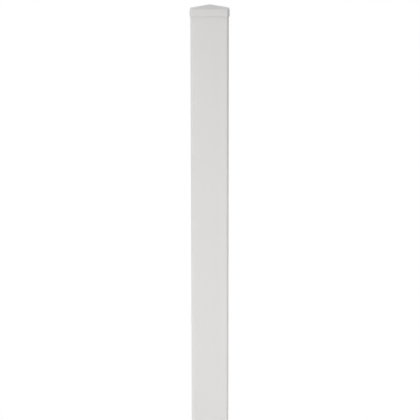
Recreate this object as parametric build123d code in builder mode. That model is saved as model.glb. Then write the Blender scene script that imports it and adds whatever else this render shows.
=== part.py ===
from build123d import *
import os
from math import atan, cos, radians, tan

os.makedirs("parts", exist_ok=True)

# Hollow square PVC fence post with a low pyramid cap, standing on its sawn foot.
# +Z is up and the origin is the centre of the foot. Lengths are in millimetres, angles in degrees.

# Post: one extrusion with an even wall, sawn square at both ends
post_width = 101.6
post_length = 1828.8
post_wall = 3.43
post_corner_radius = 6.35
least_corner_radius = 0.5  # an extruded corner is never quite sharp

# Cap: one moulding, pushed over the end of the post until its inner ledge sits on the sawn edge
cap_clearance = 0.2  # gap to the post on each side, at the seat
cap_wall = 1.75
cap_cover = 17.5  # depth of post inside the skirt
cap_draft = 0.5  # taper that lets the skirt leave its mould, inside and out
eave_height = 1.8  # from the seat to the eave, measured before the eave is rounded
eave_radius = 3.0
roof_rise = 11.0  # from the eave to the apex, measured before the hips are rounded
hip_radius = 3.0
rim_radius = 0.6  # rounding of the skirt's lower outer edge
rim_lead_in = 0.5  # chamfer that guides the post into the skirt

# Heights of the cap's levels
seat_z = post_length
rim_z = seat_z - cap_cover
eave_z = seat_z + eave_height
apex_z = eave_z + roof_rise


def draft_growth(z):
    # What the draft adds to each side of the skirt at a height, counted from the seat
    return (seat_z - z) * tan(radians(cap_draft))


# Offsets of the cap's walls from the side of the post, and the lines of its roof
socket_growth = cap_clearance + draft_growth(rim_z)
rim_growth = socket_growth + cap_wall
eave_growth = cap_clearance + cap_wall + draft_growth(eave_z)
roof_pitch = roof_rise / (post_width / 2 + eave_growth)
hollow_apex_z = apex_z - cap_wall / cos(atan(roof_pitch))
gable_reach = post_width / 2 + rim_growth + cap_wall  # past the skirt on every side


def post_outline(growth, mode=Mode.ADD):
    # The post's rounded square, offset outwards by the growth
    width = post_width + 2 * growth
    radius = max(post_corner_radius + growth, least_corner_radius)
    RectangleRounded(width, width, radius, mode=mode)


def gable(plane, ridge_z):
    # House-shaped section with the roof's pitch and its ridge over the post's axis
    gable_eave_z = ridge_z - gable_reach * roof_pitch
    with BuildSketch(plane) as section:
        with BuildLine():
            Polyline(
                (-gable_reach, rim_z),
                (gable_reach, rim_z),
                (gable_reach, gable_eave_z),
                (0, ridge_z),
                (-gable_reach, gable_eave_z),
                close=True,
            )
        make_face()
    return section.sketch


# Post
with BuildPart() as post:
    with BuildSketch():
        post_outline(0)
        post_outline(-post_wall, mode=Mode.SUBTRACT)
    extrude(amount=post_length)

post.part.label = "post"
export_step(post.part, "parts/post.step")

# Space under the roof, as wide as the post's bore and one wall inside the slopes
with BuildPart() as roof_hollow:
    with BuildSketch(Plane.XY.offset(seat_z)):
        post_outline(-post_wall)
    extrude(amount=apex_z - seat_z)
    for gable_plane in (Plane.XZ, Plane.YZ):
        extrude(gable(gable_plane, hollow_apex_z), amount=gable_reach, both=True, mode=Mode.INTERSECT)

# Cap
with BuildPart() as post_cap:
    # Drafted skirt, cut by two crossed gables to a roof of four slopes
    with BuildSketch(Plane.XY.offset(rim_z)):
        post_outline(rim_growth)
    extrude(amount=apex_z - rim_z, taper=cap_draft)
    for gable_plane in (Plane.XZ, Plane.YZ):
        extrude(gable(gable_plane, apex_z), amount=gable_reach, both=True, mode=Mode.INTERSECT)

    # Hips first, so that the eave becomes one smooth line round the four corners
    hips = post_cap.edges().filter_by_position(Axis.Z, (eave_z + apex_z) / 2, apex_z)
    fillet(hips, radius=hip_radius)
    eaves = post_cap.edges().filter_by_position(Axis.Z, eave_z - cap_wall, eave_z + roof_rise / 4)
    fillet(eaves, radius=eave_radius)

    # Socket for the post, drafted like the outside, with the ledge that sits on the post around the hollow
    with BuildSketch(Plane.XY.offset(rim_z)):
        post_outline(socket_growth)
    extrude(amount=cap_cover, taper=cap_draft, mode=Mode.SUBTRACT)
    add(roof_hollow.part, mode=Mode.SUBTRACT)

    # Lower edge of the skirt
    rim = post_cap.faces().sort_by(Axis.Z)[0]
    rim_limit = cap_wall / 3
    fillet(rim.outer_wire().edges(), radius=min(rim_radius, rim_limit))
    rim = post_cap.faces().sort_by(Axis.Z)[0]
    chamfer(rim.inner_wires()[0].edges(), length=min(rim_lead_in, rim_limit))

post_cap.part.label = "post_cap"
export_step(post_cap.part, "parts/post_cap.step")
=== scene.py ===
import math
import bmesh
import bpy
from mathutils import Matrix, Vector


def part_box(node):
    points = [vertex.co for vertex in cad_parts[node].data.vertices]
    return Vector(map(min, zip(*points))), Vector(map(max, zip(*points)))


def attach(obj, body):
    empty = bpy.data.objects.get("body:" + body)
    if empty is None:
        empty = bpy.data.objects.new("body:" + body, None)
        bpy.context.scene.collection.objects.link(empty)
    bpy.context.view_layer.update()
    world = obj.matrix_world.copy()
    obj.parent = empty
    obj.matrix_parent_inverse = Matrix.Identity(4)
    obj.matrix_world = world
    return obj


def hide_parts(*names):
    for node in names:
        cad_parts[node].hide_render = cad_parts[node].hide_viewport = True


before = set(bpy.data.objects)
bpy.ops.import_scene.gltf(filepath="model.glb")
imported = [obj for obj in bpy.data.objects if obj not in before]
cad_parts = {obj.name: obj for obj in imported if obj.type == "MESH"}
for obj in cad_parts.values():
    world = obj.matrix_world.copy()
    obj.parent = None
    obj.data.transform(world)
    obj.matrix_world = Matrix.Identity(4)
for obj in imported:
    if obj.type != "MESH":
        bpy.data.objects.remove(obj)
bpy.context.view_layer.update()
scene = bpy.context.scene
scene.view_settings.view_transform = "Standard"
millimetre = 0.001
quarterTurn = math.pi / 2


def newNode(tree, kind, values=None, **settings):
    node = tree.nodes.new(kind)
    for name, value in settings.items():
        setattr(node, name, value)
    for name, value in (values or {}).items():
        node.inputs[name].default_value = value
    return node


def wire(tree, start, end):
    tree.links.new(start, end)


# Finishes

vinyl = {
    "refraction": 1.53,
    "patternSpan": (0.3, 0.7),  # the stretch of a pattern's range that its tones are spread over
}


def newMaterial(name):
    material = bpy.data.materials.new(name)
    material.use_nodes = True
    tree = material.node_tree
    shader = tree.nodes["Principled BSDF"]
    shader.inputs["IOR"].default_value = vinyl["refraction"]
    return material, tree, shader


def scaledPoints(tree, scale):
    place = newNode(tree, "ShaderNodeTexCoord")
    mapping = newNode(tree, "ShaderNodeMapping", {"Scale": scale})
    wire(tree, place.outputs["Object"], mapping.inputs["Vector"])
    return mapping.outputs["Vector"]


def noiseFrom(tree, vector, scale, detail):
    noise = newNode(tree, "ShaderNodeTexNoise", {"Scale": scale, "Detail": detail})
    wire(tree, vector, noise.inputs["Vector"])
    return noise.outputs["Fac"]


def spread(tree, value, low, high):
    start, end = vinyl["patternSpan"]
    limits = {"From Min": start, "From Max": end, "To Min": low, "To Max": high}
    stretch = newNode(tree, "ShaderNodeMapRange", limits)
    wire(tree, value, stretch.inputs["Value"])
    return stretch.outputs["Result"]


def tonedWhite(tree, shader, value, white, share):
    ramp = newNode(tree, "ShaderNodeValToRGB")
    shades = ([channel * (1 - share) for channel in white], white)
    for stop, place, shade in zip(ramp.color_ramp.elements, vinyl["patternSpan"], shades):
        stop.position = place
        stop.color = (*shade, 1)
    wire(tree, value, ramp.inputs["Fac"])
    wire(tree, ramp.outputs["Color"], shader.inputs["Base Color"])


def bump(tree, height, depth, below=None):
    node = newNode(tree, "ShaderNodeBump", {"Distance": depth})
    wire(tree, height, node.inputs["Height"])
    if below is not None:
        wire(tree, below, node.inputs["Normal"])
    return node.outputs["Normal"]


postFinish = {
    "white": (0.785, 0.765, 0.753),
    "roughness": (0.36, 0.44),
    "dieLines": 900.0,  # per metre across the post
    "dieLineStretch": 0.004,  # along the post they hardly change
    "dieLineDetail": 1.0,
    "dieLineDepth": 0.06 * millimetre,
    "drawMarks": 55.0,
    "drawMarkStretch": 0.02,
    "drawMarkDetail": 2.0,
    "drawMarkDepth": 0.26 * millimetre,
    "tone": 2.2,
    "toneDetail": 3.0,
    "toneShare": 0.025,
}


def makePostVinyl():
    material, tree, shader = newMaterial("post_vinyl")
    finish = postFinish
    linePoints = scaledPoints(tree, (1, 1, finish["dieLineStretch"]))
    lines = noiseFrom(tree, linePoints, finish["dieLines"], finish["dieLineDetail"])
    markPoints = scaledPoints(tree, (1, 1, finish["drawMarkStretch"]))
    marks = noiseFrom(tree, markPoints, finish["drawMarks"], finish["drawMarkDetail"])
    tone = noiseFrom(tree, scaledPoints(tree, (1, 1, 1)), finish["tone"], finish["toneDetail"])
    tonedWhite(tree, shader, tone, finish["white"], finish["toneShare"])
    wire(tree, spread(tree, marks, *finish["roughness"]), shader.inputs["Roughness"])
    drawn = bump(tree, marks, finish["drawMarkDepth"])
    wire(tree, bump(tree, lines, finish["dieLineDepth"], drawn), shader.inputs["Normal"])
    return material


capFinish = {
    "white": (0.78, 0.765, 0.761),  # a shade cooler than the post
    "roughness": (0.40, 0.50),
    "grain": 1700.0,  # spark-eroded mould texture, per metre
    "grainDetail": 3.0,
    "grainDepth": 0.08 * millimetre,
    "flow": 45.0,
    "flowDetail": 2.0,
    "toneShare": 0.02,
}


def makeCapVinyl():
    material, tree, shader = newMaterial("cap_vinyl")
    finish = capFinish
    points = scaledPoints(tree, (1, 1, 1))
    grain = noiseFrom(tree, points, finish["grain"], finish["grainDetail"])
    flow = noiseFrom(tree, points, finish["flow"], finish["flowDetail"])
    tonedWhite(tree, shader, flow, finish["white"], finish["toneShare"])
    wire(tree, spread(tree, flow, *finish["roughness"]), shader.inputs["Roughness"])
    wire(tree, bump(tree, grain, finish["grainDepth"]), shader.inputs["Normal"])
    return material


sawnFinish = {
    "white": (0.72, 0.705, 0.69),
    "roughness": 0.68,
    "strokes": 420.0,
    "strokeStretch": 0.15,
    "strokeDistortion": 3.0,
    "strokeDetail": 2.0,
    "strokeDepth": 0.06 * millimetre,
    "toneShare": 0.06,
}


def makeSawnVinyl():
    material, tree, shader = newMaterial("sawn_vinyl")
    finish = sawnFinish
    shader.inputs["Roughness"].default_value = finish["roughness"]
    strokes = {
        "Scale": finish["strokes"],
        "Distortion": finish["strokeDistortion"],
        "Detail": finish["strokeDetail"],
    }
    wave = newNode(tree, "ShaderNodeTexWave", strokes, bands_direction="X")
    wire(tree, scaledPoints(tree, (1, finish["strokeStretch"], 1)), wave.inputs["Vector"])
    tonedWhite(tree, shader, wave.outputs["Fac"], finish["white"], finish["toneShare"])
    wire(tree, bump(tree, wave.outputs["Fac"], finish["strokeDepth"]), shader.inputs["Normal"])
    return material


postVinyl = makePostVinyl()
capVinyl = makeCapVinyl()
sawnVinyl = makeSawnVinyl()
print("finishes made")


# Meshes and their shading

shading = {
    "sharpAngle": math.radians(35),
    "areaWeight": 80,
}


def plainMesh(holder, name):
    evaluated = holder.evaluated_get(bpy.context.evaluated_depsgraph_get())
    mesh = bpy.data.meshes.new_from_object(evaluated)
    mesh.name = name
    return mesh


def smoothed(piece):
    # Flat faces keep one even shade and only the roundings turn
    piece.data.shade_smooth()
    piece.data.set_sharp_from_angle(angle=shading["sharpAngle"])
    weigh = piece.modifiers.new("weigh", "WEIGHTED_NORMAL")
    weigh.keep_sharp = True
    weigh.weight = shading["areaWeight"]
    mesh = plainMesh(piece, piece.name)
    piece.modifiers.remove(weigh)
    piece.data = mesh
    return piece


# Post: one wall section swept round the rounded square

postLow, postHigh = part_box("post")
post = {
    "width": postHigh.x - postLow.x,
    "length": postHigh.z - postLow.z,
    "wall": 3.43 * millimetre,
    "cornerRadius": 6.35 * millimetre,
    "cornerSteps": 20,
    "sawEase": 0.3 * millimetre,  # the file's touch on the sawn edges
    "sawEaseSteps": 2,
    "sawnFacing": 0.9,  # faces that look this straight up or down are sawn ones
}
postInputs = {
    "Width": ("NodeSocketFloat", post["width"]),
    "Length": ("NodeSocketFloat", post["length"]),
    "Wall": ("NodeSocketFloat", post["wall"]),
    "Corner Radius": ("NodeSocketFloat", post["cornerRadius"]),
    "Corner Steps": ("NodeSocketInt", post["cornerSteps"]),
    "Saw Ease": ("NodeSocketFloat", post["sawEase"]),
    "Saw Ease Steps": ("NodeSocketInt", post["sawEaseSteps"]),
    "Sawn Facing": ("NodeSocketFloat", post["sawnFacing"]),
    "Skin": ("NodeSocketMaterial", postVinyl),
    "Sawn": ("NodeSocketMaterial", sawnVinyl),
}


def buildPostTree():
    tree = bpy.data.node_groups.new("postExtrusion", "GeometryNodeTree")
    settings = {}
    for name, (kind, value) in postInputs.items():
        socket = tree.interface.new_socket(name=name, in_out="INPUT", socket_type=kind)
        settings[socket.identifier] = value
    tree.interface.new_socket(name="Geometry", in_out="OUTPUT", socket_type="NodeSocketGeometry")
    given = newNode(tree, "NodeGroupInput").outputs
    result = newNode(tree, "NodeGroupOutput")

    def maths(operation, *values):
        node = newNode(tree, "ShaderNodeMath", operation=operation)
        for socket, value in zip(node.inputs, values):
            if isinstance(value, float):
                socket.default_value = value
            else:
                wire(tree, value, socket)
        return node.outputs[0]

    def roundedRectangle(width, height, radius, steps):
        frameCurve = newNode(tree, "GeometryNodeCurvePrimitiveQuadrilateral")
        wire(tree, width, frameCurve.inputs["Width"])
        wire(tree, height, frameCurve.inputs["Height"])
        fillet = newNode(tree, "GeometryNodeFilletCurve", mode="POLY")
        wire(tree, frameCurve.outputs["Curve"], fillet.inputs["Curve"])
        wire(tree, radius, fillet.inputs["Radius"])
        wire(tree, steps, fillet.inputs["Count"])
        return fillet.outputs["Curve"]

    # The path runs along the middle of the wall
    midWidth = maths("SUBTRACT", given["Width"], given["Wall"])
    halfWall = maths("MULTIPLY", given["Wall"], 0.5)
    midRadius = maths("SUBTRACT", given["Corner Radius"], halfWall)
    path = roundedRectangle(midWidth, midWidth, midRadius, given["Corner Steps"])
    upright = newNode(tree, "GeometryNodeSetCurveNormal", mode="Z_UP")
    wire(tree, path, upright.inputs["Curve"])
    section = roundedRectangle(
        given["Wall"], given["Length"], given["Saw Ease"], given["Saw Ease Steps"]
    )
    sweep = newNode(tree, "GeometryNodeCurveToMesh")
    wire(tree, upright.outputs["Curve"], sweep.inputs["Curve"])
    wire(tree, section, sweep.inputs["Profile Curve"])

    # The section is swept about its middle, so the post is lifted onto its foot
    lift = newNode(tree, "ShaderNodeCombineXYZ")
    wire(tree, maths("MULTIPLY", given["Length"], 0.5), lift.inputs["Z"])
    stand = newNode(tree, "GeometryNodeTransform")
    wire(tree, sweep.outputs["Mesh"], stand.inputs["Geometry"])
    wire(tree, lift.outputs["Vector"], stand.inputs["Translation"])

    facing = newNode(tree, "ShaderNodeSeparateXYZ")
    wire(tree, newNode(tree, "GeometryNodeInputNormal").outputs["Normal"], facing.inputs["Vector"])
    isSawn = maths("GREATER_THAN", maths("ABSOLUTE", facing.outputs["Z"]), given["Sawn Facing"])
    plain = newNode(tree, "GeometryNodeRealizeInstances")
    wire(tree, stand.outputs["Geometry"], plain.inputs["Geometry"])
    skin = newNode(tree, "GeometryNodeSetMaterial")
    wire(tree, plain.outputs["Geometry"], skin.inputs["Geometry"])
    wire(tree, given["Skin"], skin.inputs["Material"])
    sawn = newNode(tree, "GeometryNodeSetMaterial")
    wire(tree, skin.outputs["Geometry"], sawn.inputs["Geometry"])
    wire(tree, isSawn, sawn.inputs["Selection"])
    wire(tree, given["Sawn"], sawn.inputs["Material"])
    wire(tree, sawn.outputs["Geometry"], result.inputs["Geometry"])
    return tree, settings


def makePost():
    tree, settings = buildPostTree()
    piece = bpy.data.objects.new("fence_post", bpy.data.meshes.new("fence_post_seed"))
    scene.collection.objects.link(piece)
    extrusion = piece.modifiers.new("extrusion", "NODES")
    extrusion.node_group = tree
    for identifier, value in settings.items():
        extrusion[identifier] = value
    mesh = plainMesh(piece, "fence_post")
    piece.modifiers.remove(extrusion)
    piece.data = mesh
    return piece


fencePost = smoothed(makePost())
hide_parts("post")
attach(fencePost, "root")
print("post:", len(fencePost.data.polygons), "faces")


# Cap: one moulding, walked in rings from the tip of its roof, round the rim, to the tip of its hollow

capLow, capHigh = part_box("post_cap")
cap = {
    "clearance": 0.2 * millimetre,  # to the post, at the seat
    "wall": 1.75 * millimetre,
    "draft": math.radians(0.5),
    "eaveHeight": 1.8 * millimetre,  # above the seat
    "eaveRadius": 3.0 * millimetre,
    "hipSoftness": 0.3 * millimetre,  # in plan, gives hips of about 3 mm radius
    "slopeProbe": 1.0 * millimetre,  # step inwards that measures the roof's slope
    "rimRadius": 0.58 * millimetre,  # a third of the wall
    "leadIn": 0.5 * millimetre,
    "cornerSteps": 16,
    "sideSteps": 8,
    "eaveSteps": 8,
    "rimSteps": 4,
    "roofSteps": (0.03, 0.1, 0.25, 0.4, 0.55, 0.7, 0.85),  # shares of the way from the tip to the eave
}


def outline(growth):
    # The post's rounded square grown by an offset: places in plan, each with its outward direction
    core = post["width"] / 2 - post["cornerRadius"]
    radius = post["cornerRadius"] + growth
    places = []
    for quarter in range(4):
        turn = Matrix.Rotation(quarter * quarterTurn, 2)
        for step in range(cap["cornerSteps"] + 1):
            angle = step / cap["cornerSteps"] * quarterTurn
            out = Vector((math.cos(angle), math.sin(angle)))
            places.append((turn @ (Vector((core, core)) + out * radius), turn @ out))
        for step in range(1, cap["sideSteps"]):
            along = core * math.cos(step / cap["sideSteps"] * math.pi)  # closer together by the corners
            places.append((turn @ Vector((along, core + radius)), turn @ Vector((0, 1))))
    return places


def capRings():
    seatZ = postHigh.z
    rimZ = capLow.z
    eaveZ = seatZ + cap["eaveHeight"]
    skirt = cap["clearance"] + cap["wall"]
    slant = math.tan(cap["draft"])
    eaveGrowth = skirt - cap["eaveHeight"] * slant
    pitch = (capHigh.z - eaveZ) / (post["width"] / 2 + eaveGrowth - cap["hipSoftness"])
    drop = cap["wall"] * math.sqrt(1 + pitch * pitch)

    def roofZ(place):
        # Falls with the larger of the two distances from the middle, blended across the hips
        across, along = abs(place.x), abs(place.y)
        blended = (across + along) / 2 + math.hypot((across - along) / 2, cap["hipSoftness"])
        return capHigh.z - pitch * (blended - cap["hipSoftness"])

    def flat(growth, z):
        return [(*place, z) for place, out in outline(growth)]

    def eaveRing(share):
        # Rolls a ball of the eave's radius into the corner between drafted skirt and local roof slope
        ring = []
        probe = cap["slopeProbe"]
        for place, out in outline(eaveGrowth):
            slope = math.atan((roofZ(place - out * probe) - roofZ(place)) / probe)
            first, last = cap["draft"], quarterTurn - slope
            reach = cap["eaveRadius"] / math.cos((last - first) / 2)
            middle = (first + last) / 2
            angle = first + (last - first) * share
            inset = reach * math.cos(middle) - cap["eaveRadius"] * math.cos(angle)
            lower = reach * math.sin(middle) - cap["eaveRadius"] * math.sin(angle)
            ring.append((*(place - out * inset), roofZ(place) - lower))
        return ring

    def roofRings(edge, below):
        for share in cap["roofSteps"]:
            inner = [Vector(place[:2]) * share for place in edge]
            yield [(*place, roofZ(place) - below) for place in inner]

    # Roof and eave
    rings = list(roofRings(eaveRing(1), 0))
    rings += [eaveRing(1 - step / cap["eaveSteps"]) for step in range(cap["eaveSteps"] + 1)]

    # Rounded lower edge of the skirt
    rimGrowth = skirt + (seatZ - rimZ) * slant
    radius = cap["rimRadius"]
    for step in range(cap["rimSteps"] + 1):
        angle = step / cap["rimSteps"] * quarterTurn
        inset = radius - radius * math.cos(angle)
        lift = radius - radius * math.sin(angle)
        rings.append(flat(rimGrowth - inset, rimZ + lift))

    # Lead-in, socket, ledge and hollow
    socketGrowth = cap["clearance"] + (seatZ - rimZ) * slant
    rings.append(flat(socketGrowth + cap["leadIn"], rimZ))
    rings.append(flat(socketGrowth - cap["leadIn"] * slant, rimZ + cap["leadIn"]))
    rings.append(flat(cap["clearance"], seatZ))
    rings.append(flat(-post["wall"], seatZ))
    hollowEdge = [(*place, roofZ(place) - drop) for place, out in outline(-post["wall"])]
    rings.append(hollowEdge)
    rings += reversed(list(roofRings(hollowEdge, drop)))

    tipZ = roofZ(Vector((0, 0)))
    return (0, 0, tipZ), rings, (0, 0, tipZ - drop)


def makeCap():
    tip, rings, hollowTip = capRings()
    shape = bmesh.new()
    loops = [[shape.verts.new(place) for place in ring] for ring in rings]
    for upper, lower in zip(loops, loops[1:]):
        for i in range(len(upper)):
            shape.faces.new((upper[i - 1], upper[i], lower[i], lower[i - 1]))
    for loop, place in ((loops[0], tip), (loops[-1], hollowTip)):
        point = shape.verts.new(place)
        for i in range(len(loop)):
            shape.faces.new((loop[i], loop[i - 1], point))
    bmesh.ops.recalc_face_normals(shape, faces=shape.faces)
    mesh = bpy.data.meshes.new("post_cap_moulding")
    shape.to_mesh(mesh)
    shape.free()
    mesh.materials.append(capVinyl)
    piece = bpy.data.objects.new("post_cap_moulding", mesh)
    scene.collection.objects.link(piece)
    return piece


capMoulding = smoothed(makeCap())
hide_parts("post_cap")
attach(capMoulding, "root")
print("cap:", len(capMoulding.data.polygons), "faces")


# Studio

backdrop = {
    "white": (1, 1, 1, 1),
    "strength": 1.0,
    "fill": 0.24,  # what the surroundings give to the post
}


def seenRays(tree):
    # One for rays that show the backdrop, nought for rays that light the object
    ray = newNode(tree, "ShaderNodeLightPath")
    total = ray.outputs["Is Camera Ray"]
    for name in ("Is Glossy Ray", "Is Transmission Ray"):
        either = newNode(tree, "ShaderNodeMath", operation="MAXIMUM")
        wire(tree, total, either.inputs[0])
        wire(tree, ray.outputs[name], either.inputs[1])
        total = either.outputs[0]
    return total


def makeWorld():
    world = bpy.data.worlds.new("studio")
    world.use_nodes = True
    scene.world = world
    tree = world.node_tree
    sky = tree.nodes["Background"]
    sky.inputs["Color"].default_value = backdrop["white"]
    sky.inputs["Strength"].default_value = backdrop["fill"]
    screen = {"Color": backdrop["white"], "Strength": backdrop["strength"]}
    shown = newNode(tree, "ShaderNodeBackground", screen)
    either = newNode(tree, "ShaderNodeMixShader")
    wire(tree, seenRays(tree), either.inputs["Fac"])
    wire(tree, sky.outputs["Background"], either.inputs[1])
    wire(tree, shown.outputs["Background"], either.inputs[2])
    wire(tree, either.outputs["Shader"], tree.nodes["World Output"].inputs["Surface"])


softBoxes = {
    "key": {
        "place": (-0.8, -2.7, 1.3),
        "aim": (0, 0, 1.1),
        "size": (2.4, 2.0),
        "spread": math.radians(180),
        "power": 33.8,
        "glossy": True,
    },
    "side": {  # low on the right
        "place": (2.2, -1.6, 0.6),
        "aim": (0, 0, 0.8),
        "size": (1.0, 0.5),
        "spread": math.radians(60),
        "power": 1.19,
        "glossy": True,
    },
    "left": {  # just brushes the left-hand corner
        "place": (-2.4, -0.2, 0.5),
        "aim": (0, 0, 0.8),
        "size": (0.6, 0.8),
        "spread": math.radians(60),
        "power": 0.32,
        "glossy": True,
    },
    "rear": {  # behind the post, for its far sides
        "place": (0.9, 2.6, 0.9),
        "aim": (0, 0, 0.9),
        "size": (1.4, 1.6),
        "spread": math.radians(180),
        "power": 40.0,
        "glossy": False,  # no glare along the post's sides
    },
}

topLight = {
    "place": (-0.6, -0.35, 1.0),  # only the direction counts
    "aim": (0, 0, 0),
    "width": math.radians(40),
    "strength": 1.22,
}


def addLamp(name, kind, lamp):
    piece = bpy.data.objects.new(name, bpy.data.lights.new(name, kind))
    scene.collection.objects.link(piece)
    piece.visible_camera = False
    piece.location = lamp["place"]
    piece.rotation_euler = (Vector(lamp["aim"]) - piece.location).to_track_quat("-Z", "Y").to_euler()
    return piece


def makeLamps():
    for name, lamp in softBoxes.items():
        box = addLamp(name, "AREA", lamp)
        box.visible_glossy = lamp["glossy"]
        box.data.shape = "RECTANGLE"
        box.data.size, box.data.size_y = lamp["size"]
        box.data.spread = lamp["spread"]
        box.data.energy = lamp["power"]
    top = addLamp("top", "SUN", topLight)
    top.data.angle = topLight["width"]
    top.data.energy = topLight["strength"]


floorDisc = {
    "paint": (0.85, 0.85, 0.85, 1),
    "lift": 0.33,  # brings the lit floor to white, and leaves the shadow
    "fade": (0.7, 1.7),  # between these distances it turns into the white backdrop
    "reach": 2.2,
    "sides": 96,
    "drop": 0.2 * millimetre,  # keeps it off the sawn foot
}


def makeFloorPaint():
    material = bpy.data.materials.new("floor_paint")
    material.use_nodes = True
    tree = material.node_tree
    tree.nodes.clear()
    seen = seenRays(tree)

    # Round the post: paint that takes the shadow, lifted where it is seen
    paint = newNode(tree, "ShaderNodeBsdfDiffuse", {"Color": floorDisc["paint"]})
    scaled = newNode(tree, "ShaderNodeMath", operation="MULTIPLY")
    scaled.inputs[1].default_value = floorDisc["lift"]
    wire(tree, seen, scaled.inputs[0])
    lift = newNode(tree, "ShaderNodeEmission")
    wire(tree, scaled.outputs[0], lift.inputs["Strength"])
    near = newNode(tree, "ShaderNodeAddShader")
    wire(tree, paint.outputs["BSDF"], near.inputs[0])
    wire(tree, lift.outputs["Emission"], near.inputs[1])

    # Further out it fades into the backdrop
    distance = newNode(tree, "ShaderNodeVectorMath", operation="LENGTH")
    wire(tree, newNode(tree, "ShaderNodeTexCoord").outputs["Object"], distance.inputs[0])
    nearEnd, farStart = floorDisc["fade"]
    limits = {"From Min": nearEnd, "From Max": farStart}
    fade = newNode(tree, "ShaderNodeMapRange", limits, interpolation_type="SMOOTHSTEP")
    wire(tree, distance.outputs["Value"], fade.inputs["Value"])
    share = newNode(tree, "ShaderNodeMath", operation="MULTIPLY")
    wire(tree, fade.outputs["Result"], share.inputs[0])
    wire(tree, seen, share.inputs[1])
    far = newNode(tree, "ShaderNodeEmission", {"Strength": backdrop["strength"]})
    surface = newNode(tree, "ShaderNodeMixShader")
    wire(tree, share.outputs[0], surface.inputs["Fac"])
    wire(tree, near.outputs["Shader"], surface.inputs[1])
    wire(tree, far.outputs["Emission"], surface.inputs[2])
    out = newNode(tree, "ShaderNodeOutputMaterial")
    wire(tree, surface.outputs["Shader"], out.inputs["Surface"])
    return material


def makeFloor():
    mesh = bpy.data.meshes.new("floor")
    disc = bmesh.new()
    bmesh.ops.create_circle(disc, cap_ends=True, segments=floorDisc["sides"], radius=floorDisc["reach"])
    disc.to_mesh(mesh)
    disc.free()
    mesh.materials.append(makeFloorPaint())
    floor = bpy.data.objects.new("floor", mesh)
    scene.collection.objects.link(floor)
    floor.location.z = -floorDisc["drop"]


makeWorld()
makeLamps()
makeFloor()
print("studio lit")


# Camera, at the photograph's height and distance

view = {
    "place": (0.0208, -3.979, 2.016),
    "tilt": 10.436,  # degrees, as the yaw and the roll
    "yaw": 0.2945,
    "roll": -0.063,
    "focalPixels": 1478.0,
    "framePixels": 420,
    "sensor": 36.0,  # millimetres, as the lens
}


def makeCamera():
    data = bpy.data.cameras.new("camera")
    data.sensor_width = view["sensor"]
    data.lens = view["focalPixels"] / view["framePixels"] * view["sensor"]
    camera = bpy.data.objects.new("camera", data)
    scene.collection.objects.link(camera)
    turn = Matrix.Rotation(math.radians(view["yaw"]), 4, "Z")
    nod = Matrix.Rotation(math.radians(90 - view["tilt"]), 4, "X")
    lean = Matrix.Rotation(math.radians(view["roll"]), 4, "Z")
    camera.matrix_world = Matrix.Translation(view["place"]) @ turn @ nod @ lean
    scene.camera = camera


makeCamera()
print("camera set")
